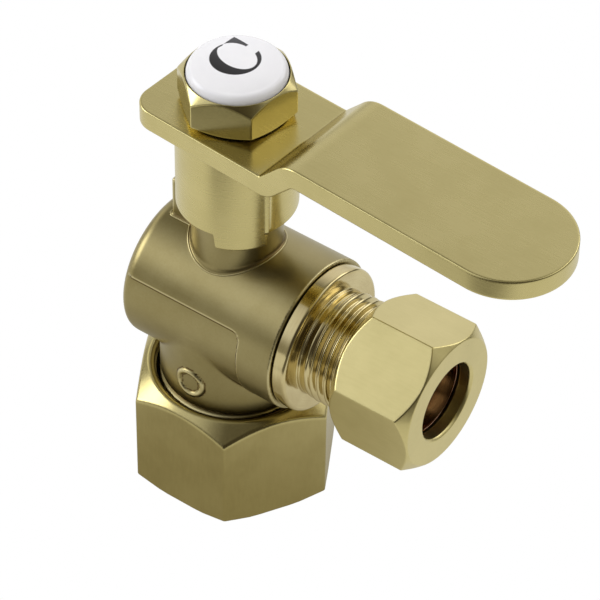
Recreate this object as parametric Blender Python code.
"""Quarter-turn angle stop valve with a lever handle.

Origin: centre of the inlet nut's bottom face, on the supply pipe's axis. +Z runs up the stem, +X out of
the outlet and +Y away from the recessed side panel. The lever stands open, nearly in line with the outlet.
Heights that belong to the valve's body are measured from the crossing of the stem's and outlet's axes.
"""

import math

import bmesh
import bpy
from mathutils import Matrix

MM = 0.001

# Overall places
LEVER_REST_TURN = math.radians(-4.0)  # how far the lever stands from the outlet's axis

# Clearances
GAP = 0.30 * MM  # between metal pieces that meet
THREAD_GAP = 0.30 * MM  # between a male thread's crest and its nut
SEAL_GAP = 0.12 * MM  # round seals, seats and thin washers
DRIVE_GAP = 0.15 * MM  # square drive, stem in its bore
STOP_GAP = 0.12 * MM  # between a stop tab and the lug, with the lever at its limit
NUT_CLEARANCE = 1.30 * MM  # between the inlet nut's crest and the barrel

# Pipes
INLET_PIPE_D = 15.9 * MM
OUTLET_TUBE_D = 9.55 * MM
PIPE_PLAY = 0.15 * MM
INLET_SOCKET_R = INLET_PIPE_D / 2 + PIPE_PLAY
TUBE_SOCKET_R = OUTLET_TUBE_D / 2 + PIPE_PLAY

# Threads
OUTLET_PITCH = 25.4 / 24 * MM
OUTLET_THREAD_WALL = 2.215 * MM  # from the tube's socket to the thread's crest
OUTLET_THREAD_R = TUBE_SOCKET_R + OUTLET_THREAD_WALL
OUTLET_THREAD_DEPTH = 0.60 * MM
OUTLET_CRESTS = 9
INLET_PITCH = 25.4 / 18 * MM
INLET_THREAD_WALL = 1.67 * MM
INLET_THREAD_R = INLET_SOCKET_R + INLET_THREAD_WALL
INLET_THREAD_DEPTH = 0.80 * MM

# Ball and chamber
BALL_R = 6.0 * MM
PORT_R = 3.6 * MM
CHAMBER_PLAY = 0.30 * MM
CHAMBER_R = BALL_R + CHAMBER_PLAY
SEAT_R = PORT_R + 0.3 * MM  # bore of a seat
SEAT_LIP_R = CHAMBER_R - 1.1 * MM
SEAT_BACK = BALL_R + 0.6 * MM
SLOT_WALL = 0.9 * MM  # between the ball's port and its slot
TANG_T = 2.2 * MM
TANG_W = 6.0 * MM

# Barrel
BARREL_R = 9.95 * MM
BACK_WALL = 4.0 * MM  # between the chamber and the closed end
BARREL_BACK = SEAT_BACK + GAP + BACK_WALL  # closed end, behind the stem's axis
BARREL_EDGE_R = 1.9 * MM
MOUTH_WALL = 1.85 * MM
MOUTH_R = BARREL_R - MOUTH_WALL
MOUTH_FLOOR = SEAT_BACK + 1.9 * MM
MOUTH_DEPTH = 3.6 * MM
SEAM_X = MOUTH_FLOOR + MOUTH_DEPTH  # open end of the barrel
PANEL_DEPTH = 0.25 * MM
PANEL_TOP = math.radians(23.0)  # above the level of the axis, round the barrel
PANEL_BOTTOM = math.radians(-55.0)
PANEL_CORNER_R = 1.6 * MM
PANEL_BACK = BARREL_BACK + PANEL_CORNER_R + GAP  # past the closed end
PANEL_FRONT = SEAM_X - 5.0 * MM

# Neck, stop lug and collar, heights from the crossing
NECK_R = 5.60 * MM
NECK_RISE = 11.45 * MM  # above the barrel
NECK_TOP = BARREL_R + NECK_RISE
HUB_PLAY = 0.50 * MM
FOOT_R = NECK_R + HUB_PLAY
FOOT_TOP = BARREL_R + 0.95 * MM
FOOT_BEVEL = 0.35 * MM
LUG_WIDTH = 3.8 * MM
LUG_PAST_HUB = 1.115 * MM
COLLAR_R = INLET_THREAD_R - 0.13 * MM
COLLAR_DROP = 1.65 * MM  # below the barrel
COLLAR_BOTTOM = -BARREL_R - COLLAR_DROP
MALE_LENGTH = 8.3 * MM
THREAD_RELIEF = 0.4 * MM  # plain length between the last crest and the collar
MALE_END = COLLAR_BOTTOM - MALE_LENGTH
MALE_START_Z = 7.4 * MM  # the male thread's lower end, above the nut's bottom face
CROSSING_Z = MALE_START_Z - MALE_END  # height of the outlet's axis
SOCKET_DEPTH = 6.6 * MM
SOCKET_MOUTH_DEPTH = 0.85 * MM
INLET_BORE_R = 4.4 * MM

# Adaptor
ADAPTOR_SCREW_R = MOUTH_R - GAP
FLANGE_R = BARREL_R - 0.48 * MM
FLANGE_T = 1.65 * MM
FLANGE_EDGE_R = 0.5 * MM
FLANGE_TO_CREST = 1.15 * MM
TAIL_R = OUTLET_THREAD_R - 0.19 * MM
TUBE_SOCKET_DEPTH = 6.8 * MM
TUBE_MOUTH_DEPTH = 1.2 * MM
ADAPTOR_GROOVE_W = 1.3 * MM
ADAPTOR_GROOVE_DEPTH = 0.8 * MM

# Stem, heights from the crossing
STEM_R = 2.9 * MM
SHOULDER_R = 3.9 * MM
SHOULDER_T = 1.35 * MM
THRUST_T = 0.96 * MM
STEM_GROOVE_R = 2.0 * MM
STEM_GROOVE_W = 1.3 * MM
GROOVE_HEIGHTS = (NECK_TOP - 8.75 * MM, NECK_TOP - 4.75 * MM)
SQUARE_AF = 4.2 * MM
STUD_R = SQUARE_AF / 2 - 0.2 * MM

# Lever, heights from the crossing
PLATE_RISE = 8.6 * MM  # above the neck
PLATE_TOP = NECK_TOP + PLATE_RISE
BLADE_RISE = 3.82 * MM  # above the plate
BLADE_TOP = PLATE_TOP + BLADE_RISE
LEVER_T = 2.75 * MM
LEVER_HALF_W = 7.815 * MM
LEVER_BACK = 9.96 * MM
LEVER_TIP = 47.55 * MM
REAR_CORNER_R = 3.0 * MM
HUB_WALL = 1.285 * MM
HUB_BORE_R = FOOT_R
HUB_R = HUB_BORE_R + HUB_WALL
HUB_OVERLAP = 5.55 * MM  # how far the hub comes down round the neck
HUB_RIM = NECK_TOP - HUB_OVERLAP
TAB_RIM = HUB_RIM - 2.09 * MM
TAB_SPAN = 50.0  # degrees round the hub
STOP_TURN = math.degrees(math.asin((LUG_WIDTH / 2 + STOP_GAP) / HUB_BORE_R))
QUARTER = 90.0
TAB_STARTS = (STOP_TURN - QUARTER, 180.0 - STOP_TURN - TAB_SPAN)  # degrees from the blade's direction
VALLEY_X = HUB_R + 2.655 * MM
RIDGE_X = VALLEY_X + 3.69 * MM
BEND_R = 1.2 * MM  # inner radius of both bends
LEVER_WASHER_T = 0.56 * MM

# Cap and button, heights from the crossing
CAP_AF = 12.7 * MM
CAP_WASHER_T = 0.32 * MM
CAP_BOTTOM = PLATE_TOP + CAP_WASHER_T + 2 * SEAL_GAP
CAP_WASHER_R = CAP_AF / 2 - 1.0 * MM
CAP_REST_GAP = 0.20 * MM  # between the cap's skirt and the plate
CAP_SKIRT = PLATE_TOP + CAP_REST_GAP
CAP_SKIRT_R = CAP_AF / 2 - 0.15 * MM
CAP_SKIRT_CHAMFER = 0.70 * MM
CAP_CORNER_TOP = CAP_BOTTOM + 3.46 * MM
CAP_H = 4.64 * MM
CAP_RIM = CAP_BOTTOM + CAP_H
CAP_TURN = math.radians(19.9)  # a corner of the hexagon, from +X
CAP_RIM_WALL = 0.19 * MM  # at the middle of a flat
BUTTON_PLAY = 0.16 * MM
CAP_RECESS_R = CAP_AF / 2 - CAP_RIM_WALL
BUTTON_R = CAP_RECESS_R - BUTTON_PLAY
BUTTON_RISE = 1.45 * MM
BUTTON_LIP_T = 0.75 * MM
BUTTON_SEAT = CAP_RIM - 1.5 * MM  # floor of the cap's recess
SKIRT_R = BUTTON_R - 0.63 * MM
CAP_RIM_STEP = 0.05 * MM  # from the middle of a flat to the rim's outer edge
CAP_WEB = 0.44 * MM  # between the tapped hole and the recess
TAPPED_TOP = BUTTON_SEAT - CAP_WEB

# Nuts and ferrules
INLET_NUT_BORE_R = INLET_THREAD_R + THREAD_GAP
INLET_NUT_WALL = 1.83 * MM  # at the middle of a flat
INLET_NUT_AF = 2 * (INLET_NUT_BORE_R + INLET_NUT_WALL)
INLET_NUT_CREST = CROSSING_Z - BARREL_R - NUT_CLEARANCE  # above the nut's bottom face
INLET_NUT_CORNERS = (0.66 * MM, INLET_NUT_CREST - 2.13 * MM)
INLET_NUT_CREST_R = INLET_NUT_BORE_R + 0.88 * MM
INLET_NUT_HOLE_R = INLET_SOCKET_R + 0.05 * MM
CREST_ROUND = 0.25 * MM
CREST_ROUND_DEPTH = 0.14 * MM
INLET_NUT_FACE_R = INLET_NUT_AF / 2 + 0.3 * MM
INLET_CONE = (MALE_START_Z - 4.2 * MM, MALE_START_Z - 2.5 * MM)
INLET_FERRULE_R = INLET_NUT_BORE_R - 0.67 * MM
INLET_FERRULE_Z = (MALE_START_Z - 3.65 * MM, MALE_START_Z - 0.8 * MM)
OUTLET_NUT_BORE_R = OUTLET_THREAD_R + THREAD_GAP
OUTLET_NUT_WALL = 1.06 * MM
OUTLET_NUT_AF = 2 * (OUTLET_NUT_BORE_R + OUTLET_NUT_WALL)
OUTLET_NUT_L = 11.34 * MM
OUTLET_NUT_ENGAGEMENT = 4.44 * MM  # how far the thread reaches into the nut
OUTLET_NUT_CHAMFER = 1.37 * MM
OUTLET_NUT_FACE_R = OUTLET_NUT_AF / 2 - 0.15 * MM
OUTLET_NUT_HOLE_R = TUBE_SOCKET_R + 0.08 * MM
OUTLET_NUT_TURN = math.radians(40.5)  # a corner of the hexagon, from +Y
OUTLET_CONE = (OUTLET_NUT_ENGAGEMENT + 3.3 * MM, OUTLET_NUT_ENGAGEMENT + 5.2 * MM)  # from the nut's back
OUTLET_FERRULE_R = OUTLET_NUT_BORE_R - 0.84 * MM
OUTLET_FERRULE_X = (OUTLET_NUT_ENGAGEMENT + 1.5 * MM, OUTLET_NUT_ENGAGEMENT + 4.8 * MM)
FERRULE_LIP = 0.25 * MM  # a ferrule's thin ends
BORE_CHAMFER = 0.25 * MM

FACETS = 36
FINE_FACETS = 24
SEAL_FACETS = 24
SEAL_SECTION = 6

BRASS = ("satin_brass", (0.50, 0.42, 0.22), 1.0, 0.34)
BRASS_PALE = ("turned_brass", (0.55, 0.44, 0.22), 1.0, 0.18)
RUBBER = ("black_rubber", (0.012, 0.012, 0.012), 0.0, 0.55)
PTFE = ("white_ptfe", (0.83, 0.83, 0.80), 0.0, 0.45)
NYLON = ("dark_nylon", (0.03, 0.03, 0.03), 0.0, 0.50)
PORCELAIN = ("white_porcelain", (0.86, 0.85, 0.86), 0.0, 0.08)


def clear_scene():
    for obj in list(bpy.data.objects):
        bpy.data.objects.remove(obj)


def material(finish):
    name, colour, metallic, roughness = finish
    made = bpy.data.materials.get(name)
    if made is None:
        made = bpy.data.materials.new(name)
        made.use_nodes = True
        shader = made.node_tree.nodes["Principled BSDF"]
        shader.inputs["Base Color"].default_value = (*colour, 1.0)
        shader.inputs["Metallic"].default_value = metallic
        shader.inputs["Roughness"].default_value = roughness
    return made


def pivot(name, location=(0, 0, 0), rotation=(0, 0, 0)):
    """An empty on a joint's axis, which its pieces are parented to."""
    empty = bpy.data.objects.new(name, None)
    empty.location = location
    empty.rotation_euler = rotation
    bpy.context.scene.collection.objects.link(empty)
    return empty


def placed(name, bm, parent, finish=None):
    """The mesh as an object under its pivot. Without a finish it is a cutter or a guide."""
    bmesh.ops.remove_doubles(bm, verts=bm.verts, dist=1e-7)
    bmesh.ops.recalc_face_normals(bm, faces=bm.faces)
    mesh = bpy.data.meshes.new(name)
    bm.to_mesh(mesh)
    bm.free()
    mesh.shade_smooth()
    mesh.set_sharp_from_angle(angle=math.radians(30))
    obj = bpy.data.objects.new(name, mesh)
    obj.parent = parent
    bpy.context.scene.collection.objects.link(obj)
    if finish:
        mesh.materials.append(material(finish))
    else:
        obj.hide_render = True
        obj.display_type = "WIRE"
    return obj


def combine(obj, other, operation):
    step = obj.modifiers.new(f"{operation.lower()}_{other.name}", "BOOLEAN")
    step.operation = operation
    step.object = other
    return obj


def arc(centre_r, centre_z, radius, start, end, steps=4):
    """Points of a circular arc in a turned outline, start and end in degrees from the +r direction."""
    turns = (math.radians(start + (end - start) * i / steps) for i in range(steps + 1))
    return [(centre_r + radius * math.cos(a), centre_z + radius * math.sin(a)) for a in turns]


def turned(name, outline, parent, finish=None, steps=FACETS, closed=True):
    """A closed outline of (radius, height) points, spun about the pivot's Z axis."""
    bm = bmesh.new()
    verts = [bm.verts.new((r, 0, z)) for r, z in outline]
    pairs = list(zip(verts, verts[1:])) + ([(verts[-1], verts[0])] if closed else [])
    edges = [bm.edges.new(pair) for pair in pairs]
    bmesh.ops.spin(
        bm, geom=verts + edges, cent=(0, 0, 0), axis=(0, 0, 1), dvec=(0, 0, 0), angle=math.tau, steps=steps
    )
    bmesh.ops.remove_doubles(bm, verts=bm.verts, dist=1e-7)
    flat = [edge for edge in bm.edges if not edge.link_faces]
    bmesh.ops.delete(bm, geom=flat, context="EDGES")
    return placed(name, bm, parent, finish)


def ring(name, parent, finish, centre_z, inner_r, outer_r, squash=1.0):
    """An O-ring that fills a groove from inner_r to outer_r, less the seal's clearance."""
    section = (outer_r - inner_r) / 2 - SEAL_GAP
    outline = [
        ((inner_r + outer_r) / 2 + section * math.cos(a), centre_z + section * squash * math.sin(a))
        for a in (math.tau * i / SEAL_SECTION for i in range(SEAL_SECTION))
    ]
    return turned(name, outline, parent, finish, SEAL_FACETS)


def prism(name, outline, low, high, parent, finish=None, turn=None):
    """A flat outline of (x, y) points, raised from low to high. A turn is applied to the mesh."""
    bm = bmesh.new()
    base = bm.faces.new([bm.verts.new((x, y, low)) for x, y in outline])
    top = bmesh.ops.extrude_face_region(bm, geom=[base])["geom"]
    moved = [item for item in top if isinstance(item, bmesh.types.BMVert)]
    bmesh.ops.translate(bm, verts=moved, vec=(0, 0, high - low))
    if turn:
        bm.transform(turn)
    return placed(name, bm, parent, finish)


def hexagon(across_flats, turn):
    corner = across_flats / math.sqrt(3)
    angles = (turn + math.tau * i / 6 for i in range(6))
    return [(corner * math.cos(a), corner * math.sin(a)) for a in angles]


def hexed(obj, name, across_flats, turn, low, high):
    """Keeps what of a turned blank lies inside a hexagonal bar."""
    bar = prism(name, hexagon(across_flats, turn), low, high, obj.parent)
    return combine(obj, bar, "INTERSECT")


def thread(first_crest, crests, pitch, crest_r, depth):
    """Outline points of a run of ridges that rises in height, root and crest by turns."""
    points = []
    for i in range(crests):
        middle = first_crest + i * pitch
        points += [(crest_r - depth, middle - pitch / 2), (crest_r, middle)]
    return points + [(crest_r - depth, first_crest + (crests - 0.5) * pitch)]


# Values that more than one piece shares, worked out from the sizes above
POCKET_R = SHOULDER_R + GAP
STEM_BORE_R = STEM_R + DRIVE_GAP
SHOULDER_BOTTOM = CHAMBER_R + 0.45 * MM
THRUST_BOTTOM = SHOULDER_BOTTOM + SHOULDER_T + SEAL_GAP
POCKET_TOP = THRUST_BOTTOM + THRUST_T + SEAL_GAP
SLOT_FLOOR = PORT_R + SLOT_WALL
HUB_CEILING = NECK_TOP + LEVER_WASHER_T + 2 * SEAL_GAP
SQUARE_BOTTOM = HUB_CEILING - GAP
SQUARE_TOP = PLATE_TOP - 0.4 * MM
STUD_TOP = TAPPED_TOP - GAP
NOSE_START = SEAT_BACK + GAP
SCREW_START = MOUTH_FLOOR + GAP
FLANGE_BACK = SEAM_X + GAP
FLANGE_FACE = FLANGE_BACK + FLANGE_T
FIRST_CREST = FLANGE_FACE + FLANGE_TO_CREST
ADAPTOR_END = FIRST_CREST + (OUTLET_CRESTS - 0.4) * OUTLET_PITCH
OUTLET_NUT_BACK = ADAPTOR_END - OUTLET_NUT_ENGAGEMENT
SOCKET_TOP = MALE_END + SOCKET_DEPTH
LUG_REACH = HUB_R + LUG_PAST_HUB


def barrel(crossing_x):
    """The barrel's solid outline, turned about the outlet's axis: a closed end with a rounded edge."""
    outline = [
        (0, -BARREL_BACK),
        *arc(BARREL_R - BARREL_EDGE_R, BARREL_EDGE_R - BARREL_BACK, BARREL_EDGE_R, -90, 0, 5),
        (BARREL_R, SEAM_X - BORE_CHAMFER),
        (BARREL_R - BORE_CHAMFER, SEAM_X),
        (0, SEAM_X),
    ]
    return turned("valve_body", outline, crossing_x, BRASS, closed=False)


def neck(crossing_z):
    outline = [
        (0, 0),
        (FOOT_R, 0),
        (FOOT_R, FOOT_TOP - FOOT_BEVEL),
        (NECK_R, FOOT_TOP),
        (NECK_R, NECK_TOP - BORE_CHAMFER),
        (NECK_R - BORE_CHAMFER, NECK_TOP),
        (0, NECK_TOP),
    ]
    return turned("neck_stock", outline, crossing_z, closed=False)


def collar(crossing_z):
    """The round collar, its relief and the male inlet thread, from the bottom up."""
    relief_r = INLET_THREAD_R - INLET_THREAD_DEPTH
    first = MALE_END + 0.75 * INLET_PITCH
    room = COLLAR_BOTTOM - THREAD_RELIEF - first
    crests = int(room / INLET_PITCH) + 1
    outline = [
        (0, MALE_END),
        (relief_r, MALE_END),
        *thread(first, crests, INLET_PITCH, INLET_THREAD_R, INLET_THREAD_DEPTH),
        (relief_r, COLLAR_BOTTOM),
        (COLLAR_R - BORE_CHAMFER, COLLAR_BOTTOM),
        (COLLAR_R, COLLAR_BOTTOM + BORE_CHAMFER),
        (COLLAR_R, 0),
        (0, 0),
    ]
    return turned("collar_stock", outline, crossing_z, closed=False)


def stop_lug(crossing_z):
    """The rib behind the neck that the lever's tabs stop against."""
    half = LUG_WIDTH / 2
    outline = [(-LUG_REACH, -half), (-LUG_REACH, half), (0, half), (0, -half)]
    return prism("lug_stock", outline, 0, HUB_RIM - GAP, crossing_z)


def side_panel(crossing_x):
    """A curved slab that sinks the panel into the barrel's side. Its corners at the top are rounded."""
    floor_r = BARREL_R - PANEL_DEPTH
    skin_r = BARREL_R + GAP
    corner = PANEL_CORNER_R / BARREL_R
    rows = [(PANEL_BOTTOM, 0.0)]
    for i in range(5):
        turn = math.pi / 2 * i / 4
        rows.append((PANEL_TOP - corner * (1 - math.sin(turn)), PANEL_CORNER_R * (1 - math.cos(turn))))
    middle = [(PANEL_BOTTOM + (PANEL_TOP - corner - PANEL_BOTTOM) * i / 8, 0.0) for i in range(8)]
    rows = middle + rows[1:]
    bm = bmesh.new()
    loops = []
    for angle, inset in rows:
        # The outlet's pivot turns its +X down and keeps its +Y, so the near side is -Y and up is -X.
        across, up = -math.cos(angle), math.sin(angle)
        ends = (-PANEL_BACK + inset, PANEL_FRONT - inset)
        corners = ((floor_r, ends[0]), (skin_r, ends[0]), (skin_r, ends[1]), (floor_r, ends[1]))
        loops.append([bm.verts.new((-r * up, r * across, x)) for r, x in corners])
    for low, high in zip(loops, loops[1:]):
        for i in range(4):
            j = (i + 1) % 4
            bm.faces.new((low[i], low[j], high[j], high[i]))
    bm.faces.new(loops[0])
    bm.faces.new(loops[-1])
    return placed("panel_cutter", bm, crossing_x)


def chamber(crossing_x):
    """The ball's chamber and the mouth that the adaptor screws into."""
    outline = [
        (0, -SEAT_BACK - GAP),
        (CHAMBER_R, -SEAT_BACK - GAP),
        (CHAMBER_R, MOUTH_FLOOR),
        (MOUTH_R, MOUTH_FLOOR),
        (MOUTH_R, SEAM_X + GAP),
        (0, SEAM_X + GAP),
    ]
    return turned("chamber_cutter", outline, crossing_x, closed=False)


def stem_bore(crossing_z):
    outline = [
        (0, 0),
        (POCKET_R, 0),
        (POCKET_R, POCKET_TOP),
        (STEM_BORE_R, POCKET_TOP),
        (STEM_BORE_R, NECK_TOP + GAP),
        (0, NECK_TOP + GAP),
    ]
    return turned("stem_bore_cutter", outline, crossing_z, steps=FINE_FACETS, closed=False)


def inlet_bore(crossing_z):
    """Pipe socket with a cone for the ferrule, then the flow bore up to the chamber."""
    mouth_r = INLET_SOCKET_R + SOCKET_MOUTH_DEPTH
    outline = [
        (0, MALE_END - GAP),
        (mouth_r + GAP, MALE_END - GAP),
        (INLET_SOCKET_R, MALE_END + SOCKET_MOUTH_DEPTH),
        (INLET_SOCKET_R, SOCKET_TOP),
        (INLET_BORE_R, SOCKET_TOP),
        (INLET_BORE_R, 0),
        (0, 0),
    ]
    return turned("inlet_bore_cutter", outline, crossing_z, closed=False)


def make_body(crossing_z, crossing_x):
    body = combine(barrel(crossing_x), side_panel(crossing_x), "DIFFERENCE")
    for stock in (neck(crossing_z), collar(crossing_z), stop_lug(crossing_z)):
        combine(body, stock, "UNION")
    for cutter in (chamber(crossing_x), stem_bore(crossing_z), inlet_bore(crossing_z)):
        combine(body, cutter, "DIFFERENCE")


def make_adaptor(crossing_x):
    """Nose, screwed part with its groove, flange and threaded tail, turned in one outline."""
    groove_end = FLANGE_BACK
    groove_start = groove_end - ADAPTOR_GROOVE_W
    groove_r = ADAPTOR_SCREW_R - ADAPTOR_GROOVE_DEPTH
    socket_start = ADAPTOR_END - TUBE_SOCKET_DEPTH
    nose_r = CHAMBER_R - GAP
    edge = FLANGE_EDGE_R
    outline = [
        (PORT_R, NOSE_START),
        (nose_r, NOSE_START),
        (nose_r, SCREW_START),
        (ADAPTOR_SCREW_R, SCREW_START),
        (ADAPTOR_SCREW_R, groove_start),
        (groove_r, groove_start),
        (groove_r, groove_end),
        (FLANGE_R, groove_end),
        *arc(FLANGE_R - edge, FLANGE_FACE - edge, edge, 0, 90, 3),
        (TAIL_R, FLANGE_FACE),
        (TAIL_R, FIRST_CREST - 0.6 * OUTLET_PITCH),
        *thread(FIRST_CREST, OUTLET_CRESTS, OUTLET_PITCH, OUTLET_THREAD_R, OUTLET_THREAD_DEPTH),
        (OUTLET_THREAD_R - OUTLET_THREAD_DEPTH, ADAPTOR_END),
        (TUBE_SOCKET_R + TUBE_MOUTH_DEPTH, ADAPTOR_END),
        (TUBE_SOCKET_R, ADAPTOR_END - TUBE_MOUTH_DEPTH),
        (TUBE_SOCKET_R, socket_start),
        (PORT_R, socket_start),
    ]
    turned("outlet_adaptor", outline, crossing_x, BRASS_PALE)
    ring("adaptor_o_ring", crossing_x, RUBBER, (groove_start + groove_end) / 2, groove_r, MOUTH_R)


def make_seat(name, crossing_x, side):
    """A seat ring whose inner edge is hollowed to the ball, on the outlet's side or behind the ball."""
    hollow_r = BALL_R + SEAL_GAP
    touch = [
        (r, side * math.sqrt(hollow_r**2 - r**2))
        for r in (SEAT_R + (SEAT_LIP_R - SEAT_R) * i / 4 for i in range(5))
    ]
    rim_r = CHAMBER_R - SEAL_GAP
    outline = [*touch, (rim_r, touch[-1][1]), (rim_r, side * SEAT_BACK), (SEAT_R, side * SEAT_BACK)]
    turned(name, outline, crossing_x, PTFE, FINE_FACETS)


def make_ball(stem_pivot):
    """Ball with a port from below that turns to the outlet, and a slot on top for the stem's tang."""
    outline = arc(0, CROSSING_Z, BALL_R, -90, 90, 14)
    outline[0] = (0, CROSSING_Z - BALL_R)
    outline[-1] = (0, CROSSING_Z + BALL_R)
    ball = turned("ball", outline, stem_pivot, BRASS_PALE, FINE_FACETS, closed=False)
    past = BALL_R + GAP
    riser = [(0, -past), (PORT_R, -past), (PORT_R, 0), *arc(0, 0, PORT_R, 0, 90, 4)[1:]]
    riser[-1] = (0, PORT_R)
    riser = [(r, z + CROSSING_Z) for r, z in riser]
    combine(ball, turned("riser_cutter", riser, stem_pivot, steps=FINE_FACETS, closed=False), "DIFFERENCE")
    branch_pivot = pivot("branch_axis", (0, 0, CROSSING_Z), (0, math.pi / 2, 0))
    branch_pivot.parent = stem_pivot
    branch = [(0, 0), (PORT_R, 0), (PORT_R, past), (0, past)]
    cutter = turned("branch_cutter", branch, branch_pivot, steps=FINE_FACETS, closed=False)
    combine(ball, cutter, "DIFFERENCE")
    half = TANG_T / 2 + GAP
    slot = [(-half, -past), (half, -past), (half, past), (-half, past)]
    cutter = prism("slot_cutter", slot, CROSSING_Z + SLOT_FLOOR, CROSSING_Z + past, stem_pivot)
    combine(ball, cutter, "DIFFERENCE")


def make_stem(stem_pivot):
    """Stem from the shoulder up, turned in one outline, with a tang below and a square above."""
    shoulder_top = SHOULDER_BOTTOM + SHOULDER_T
    outline = [(0, SHOULDER_BOTTOM), (SHOULDER_R, SHOULDER_BOTTOM), (SHOULDER_R, shoulder_top)]
    outline.append((STEM_R, shoulder_top))
    half_groove = STEM_GROOVE_W / 2
    for height in GROOVE_HEIGHTS:
        outline += [
            (STEM_R, height - half_groove),
            (STEM_GROOVE_R, height - half_groove),
            (STEM_GROOVE_R, height + half_groove),
            (STEM_R, height + half_groove),
        ]
    outline += [
        (STEM_R, SQUARE_TOP),
        (STUD_R, SQUARE_TOP),
        (STUD_R, STUD_TOP - BORE_CHAMFER),
        (STUD_R - BORE_CHAMFER, STUD_TOP),
        (0, STUD_TOP),
    ]
    outline = [(r, z + CROSSING_Z) for r, z in outline]
    stem = turned("stem", outline, stem_pivot, BRASS_PALE, FINE_FACETS, closed=False)
    half_t, half_w = TANG_T / 2, TANG_W / 2
    tang = [(-half_t, -half_w), (half_t, -half_w), (half_t, half_w), (-half_t, half_w)]
    low = CROSSING_Z + SLOT_FLOOR + GAP
    combine(stem, prism("tang_stock", tang, low, CROSSING_Z + SHOULDER_BOTTOM + GAP, stem_pivot), "UNION")
    outside, flat = 2 * STEM_R, SQUARE_AF / 2
    low, high = CROSSING_Z + SQUARE_BOTTOM, CROSSING_Z + SQUARE_TOP
    for i in range(4):
        side = [(flat, -outside), (outside, -outside), (outside, outside), (flat, outside)]
        turn = Matrix.Rotation(math.tau * i / 4, 4, "Z")
        combine(stem, prism(f"square_cutter_{i}", side, low, high, stem_pivot, turn=turn), "DIFFERENCE")


def make_washer(name, parent, finish, low, thickness, inner_r, outer_r):
    outline = [(inner_r, low), (outer_r, low), (outer_r, low + thickness), (inner_r, low + thickness)]
    turned(name, outline, parent, finish, FINE_FACETS)


def make_stem_seals(stem_pivot):
    low = CROSSING_Z + THRUST_BOTTOM
    outer_r = POCKET_R - SEAL_GAP
    make_washer("stem_thrust_washer", stem_pivot, PTFE, low, THRUST_T, STEM_R + SEAL_GAP, outer_r)
    for name, height in zip(("stem_o_ring_lower", "stem_o_ring_upper"), GROOVE_HEIGHTS):
        ring(name, stem_pivot, RUBBER, CROSSING_Z + height, STEM_GROOVE_R, STEM_BORE_R)
    low = CROSSING_Z + NECK_TOP + SEAL_GAP
    outer_r = HUB_BORE_R - 2 * GAP
    make_washer("lever_bearing_washer", stem_pivot, NYLON, low, LEVER_WASHER_T, STEM_R + GAP, outer_r)


def bend(points, centre, radius, start, end, steps=4):
    """Adds a bend's arc to a side outline, angles in degrees."""
    for i in range(steps + 1):
        a = math.radians(start + (end - start) * i / steps)
        points.append((centre[0] + radius * math.cos(a), centre[1] + radius * math.sin(a)))


def lever_strip(stem_pivot):
    """The lever's side outline, one thickness from end to end, stretched across its width."""
    rise = math.degrees(math.atan2(BLADE_TOP - PLATE_TOP, RIDGE_X - VALLEY_X))
    tangent = math.tan(math.radians(rise) / 2)
    inner, outer = BEND_R, BEND_R + LEVER_T
    top, valley = [], (VALLEY_X - inner * tangent, PLATE_TOP + inner)
    ridge = (RIDGE_X + outer * tangent, BLADE_TOP - outer)
    top.append((-LEVER_BACK, PLATE_TOP))
    bend(top, valley, inner, -90, rise - 90)
    bend(top, ridge, outer, rise + 90, 90)
    top.append((LEVER_TIP, BLADE_TOP))
    low = [(LEVER_TIP, BLADE_TOP - LEVER_T)]
    bend(low, ridge, inner, 90, rise + 90)
    bend(low, valley, outer, rise - 90, -90)
    low.append((-LEVER_BACK, PLATE_TOP - LEVER_T))
    side = [(x, -h - CROSSING_Z) for x, h in top + low]
    upright = Matrix.Rotation(-math.pi / 2, 4, "X")
    width = LEVER_HALF_W + GAP
    return prism("lever", side, -width, width, stem_pivot, BRASS, upright)


def lever_outline(stem_pivot):
    """The lever's plan: rounded corners behind, a half circle at the tip."""
    corner, half = REAR_CORNER_R, LEVER_HALF_W
    plan = []
    bend(plan, (corner - LEVER_BACK, corner - half), corner, 180, 270)
    bend(plan, (LEVER_TIP - half, 0), half, -90, 90, 20)
    bend(plan, (corner - LEVER_BACK, half - corner), corner, 90, 180)
    return prism("lever_plan", plan, CROSSING_Z, CROSSING_Z + BLADE_TOP + GAP, stem_pivot)


def hub_shape(stem_pivot):
    """The hub sleeve: open below round the neck, solid above it."""
    top = PLATE_TOP - LEVER_T / 2
    outline = [
        (0, HUB_CEILING),
        (HUB_BORE_R, HUB_CEILING),
        (HUB_BORE_R, HUB_RIM),
        (HUB_R, HUB_RIM),
        (HUB_R, top),
        (0, top),
    ]
    outline = [(r, z + CROSSING_Z) for r, z in outline]
    return turned("hub_stock", outline, stem_pivot, closed=False)


def tab_shape(stem_pivot, number, start):
    """A stop tab: a piece of the hub's wall that hangs below its rim."""
    end = start + TAB_SPAN
    inner, outer = HUB_BORE_R, HUB_R
    plan = []
    bend(plan, (0, 0), outer, start, end, 6)
    bend(plan, (0, 0), inner, end, start, 6)
    low, high = CROSSING_Z + TAB_RIM, CROSSING_Z + HUB_RIM + GAP
    return prism(f"tab_stock_{number}", plan, low, high, stem_pivot)


def make_lever(stem_pivot):
    lever = combine(lever_strip(stem_pivot), lever_outline(stem_pivot), "INTERSECT")
    hub = hub_shape(stem_pivot)
    for number, start in enumerate(TAB_STARTS):
        combine(hub, tab_shape(stem_pivot, number, start), "UNION")
    combine(lever, hub, "UNION")
    half = SQUARE_AF / 2 + DRIVE_GAP
    square = [(-half, -half), (half, -half), (half, half), (-half, half)]
    low, high = CROSSING_Z + HUB_CEILING - GAP, CROSSING_Z + PLATE_TOP + GAP
    combine(lever, prism("square_hole", square, low, high, stem_pivot), "DIFFERENCE")


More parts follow.
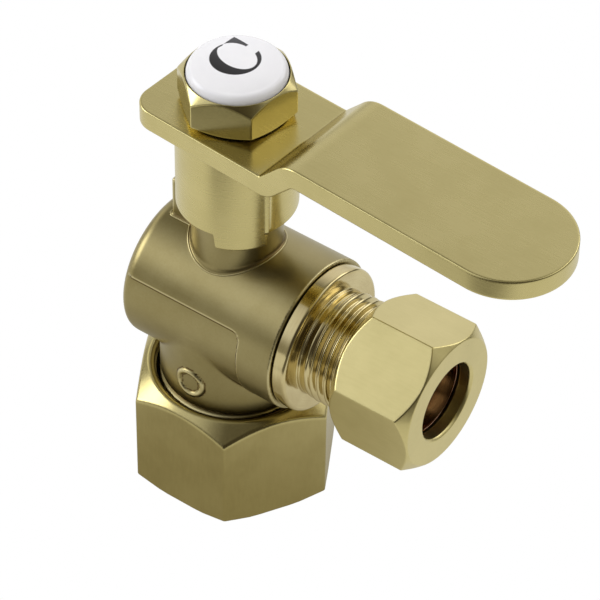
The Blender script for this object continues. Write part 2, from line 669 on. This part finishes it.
def make_cap(stem_pivot):
    """Hex cap: a skirt round its washer and a tapped hole below, a recess for the button above."""
    corner = CAP_AF / math.sqrt(3) + GAP
    tapped_r = STUD_R + DRIVE_GAP
    rim_r = CAP_AF / 2 + CAP_RIM_STEP
    washer_room_r = CAP_WASHER_R + SEAL_GAP
    outline = [
        (0, TAPPED_TOP),
        (tapped_r, TAPPED_TOP),
        (tapped_r, CAP_BOTTOM),
        (washer_room_r, CAP_BOTTOM),
        (washer_room_r, CAP_SKIRT),
        (CAP_SKIRT_R, CAP_SKIRT),
        (corner, CAP_SKIRT + CAP_SKIRT_CHAMFER),
        (corner, CAP_CORNER_TOP - GAP),
        (rim_r, CAP_RIM),
        (CAP_RECESS_R, CAP_RIM),
        (CAP_RECESS_R, BUTTON_SEAT),
        (0, BUTTON_SEAT),
    ]
    outline = [(r, z + CROSSING_Z) for r, z in outline]
    cap = turned("cap_nut", outline, stem_pivot, BRASS, closed=False)
    turn = CAP_TURN - LEVER_REST_TURN
    low, high = CROSSING_Z + CAP_SKIRT - GAP, CROSSING_Z + CAP_RIM + GAP
    hexed(cap, "cap_bar", CAP_AF, turn, low, high)
    low = CROSSING_Z + PLATE_TOP + SEAL_GAP
    make_washer("cap_washer", stem_pivot, NYLON, low, CAP_WASHER_T, STUD_R + DRIVE_GAP, CAP_WASHER_R)


def make_button(stem_pivot):
    """Porcelain button: a low dome over a lip, with a narrower skirt that its ring grips."""
    skirt_bottom = BUTTON_SEAT + DRIVE_GAP
    lip_bottom = CAP_RIM - BUTTON_LIP_T
    crown_r = (BUTTON_R**2 + BUTTON_RISE**2) / (2 * BUTTON_RISE)
    half_span = math.degrees(math.asin(BUTTON_R / crown_r))
    dome = arc(0, CAP_RIM + BUTTON_RISE - crown_r, crown_r, 90 - half_span, 90, 6)
    dome[-1] = (0, CAP_RIM + BUTTON_RISE)
    outline = [
        (0, skirt_bottom),
        (SKIRT_R, skirt_bottom),
        (SKIRT_R, lip_bottom),
        (BUTTON_R, lip_bottom),
        *dome,
    ]
    outline = [(r, z + CROSSING_Z) for r, z in outline]
    turned("index_button", outline, stem_pivot, PORCELAIN, closed=False)
    middle = CROSSING_Z + (BUTTON_SEAT + lip_bottom) / 2
    ring("button_o_ring", stem_pivot, RUBBER, middle, SKIRT_R, CAP_RECESS_R)


def make_inlet_nut(inlet_pivot):
    low_corner, high_corner = INLET_NUT_CORNERS
    corner = INLET_NUT_AF / math.sqrt(3)
    outline = [
        (INLET_NUT_HOLE_R + BORE_CHAMFER, 0),
        (INLET_NUT_FACE_R, 0),
        (corner, low_corner),
        (corner + GAP, low_corner),
        (corner + GAP, high_corner),
        (corner, high_corner),
        (INLET_NUT_CREST_R + CREST_ROUND, INLET_NUT_CREST - CREST_ROUND_DEPTH),
        (INLET_NUT_CREST_R, INLET_NUT_CREST),
        (INLET_NUT_BORE_R + 0.35 * MM, INLET_NUT_CREST - 0.2 * MM),
        (INLET_NUT_BORE_R, INLET_NUT_CREST - 0.8 * MM),
        (INLET_NUT_BORE_R, INLET_CONE[1]),
        (INLET_NUT_HOLE_R, INLET_CONE[0]),
        (INLET_NUT_HOLE_R, BORE_CHAMFER),
    ]
    nut = turned("inlet_nut", outline, inlet_pivot, BRASS)
    hexed(nut, "inlet_bar", INLET_NUT_AF, 0, -GAP, INLET_NUT_CREST + GAP)
    low, high = INLET_FERRULE_Z
    length = high - low
    ferrule = [
        (INLET_SOCKET_R, low),
        (INLET_SOCKET_R + FERRULE_LIP, low),
        (INLET_FERRULE_R, low + 0.42 * length),
        (INLET_FERRULE_R, low + 0.55 * length),
        (INLET_SOCKET_R + FERRULE_LIP, high),
        (INLET_SOCKET_R, high),
    ]
    turned("inlet_ferrule", ferrule, inlet_pivot, BRASS_PALE)


def make_outlet_nut(nut_pivot):
    """Hex nut chamfered at both ends, its bore narrowing through a cone to the tube's hole."""
    corner = OUTLET_NUT_AF / math.sqrt(3)
    outline = [
        (OUTLET_NUT_BORE_R + BORE_CHAMFER, 0),
        (OUTLET_NUT_FACE_R, 0),
        (corner, OUTLET_NUT_CHAMFER),
        (corner + GAP, OUTLET_NUT_CHAMFER),
        (corner + GAP, OUTLET_NUT_L - OUTLET_NUT_CHAMFER),
        (corner, OUTLET_NUT_L - OUTLET_NUT_CHAMFER),
        (OUTLET_NUT_FACE_R, OUTLET_NUT_L),
        (OUTLET_NUT_HOLE_R + BORE_CHAMFER, OUTLET_NUT_L),
        (OUTLET_NUT_HOLE_R, OUTLET_NUT_L - BORE_CHAMFER),
        (OUTLET_NUT_HOLE_R, OUTLET_CONE[1]),
        (OUTLET_NUT_BORE_R, OUTLET_CONE[0]),
        (OUTLET_NUT_BORE_R, BORE_CHAMFER),
    ]
    nut = turned("outlet_nut", outline, nut_pivot, BRASS)
    hexed(nut, "outlet_bar", OUTLET_NUT_AF, OUTLET_NUT_TURN - math.pi / 2, -GAP, OUTLET_NUT_L + GAP)
    low, high = OUTLET_FERRULE_X
    length = high - low
    ferrule = [
        (TUBE_SOCKET_R, low),
        (TUBE_SOCKET_R + FERRULE_LIP, low),
        (OUTLET_FERRULE_R, low + 0.42 * length),
        (OUTLET_FERRULE_R, low + 0.52 * length),
        (TUBE_SOCKET_R + FERRULE_LIP, high),
        (TUBE_SOCKET_R, high),
    ]
    turned("outlet_ferrule", ferrule, nut_pivot, BRASS_PALE)


def main():
    clear_scene()
    along_x = (0, math.pi / 2, 0)
    crossing_z = pivot("crossing_upright", (0, 0, CROSSING_Z))
    crossing_x = pivot("crossing_level", (0, 0, CROSSING_Z), along_x)
    stem_pivot = pivot("stem_axis", rotation=(0, 0, LEVER_REST_TURN))
    inlet_pivot = pivot("inlet_nut_axis")
    nut_pivot = pivot("outlet_nut_axis", (OUTLET_NUT_BACK, 0, CROSSING_Z), along_x)
    make_body(crossing_z, crossing_x)
    make_adaptor(crossing_x)
    make_seat("outlet_seat", crossing_x, 1)
    make_seat("back_seat", crossing_x, -1)
    make_ball(stem_pivot)
    make_stem(stem_pivot)
    make_stem_seals(stem_pivot)
    make_lever(stem_pivot)
    make_cap(stem_pivot)
    make_button(stem_pivot)
    make_inlet_nut(inlet_pivot)
    make_outlet_nut(nut_pivot)


main()
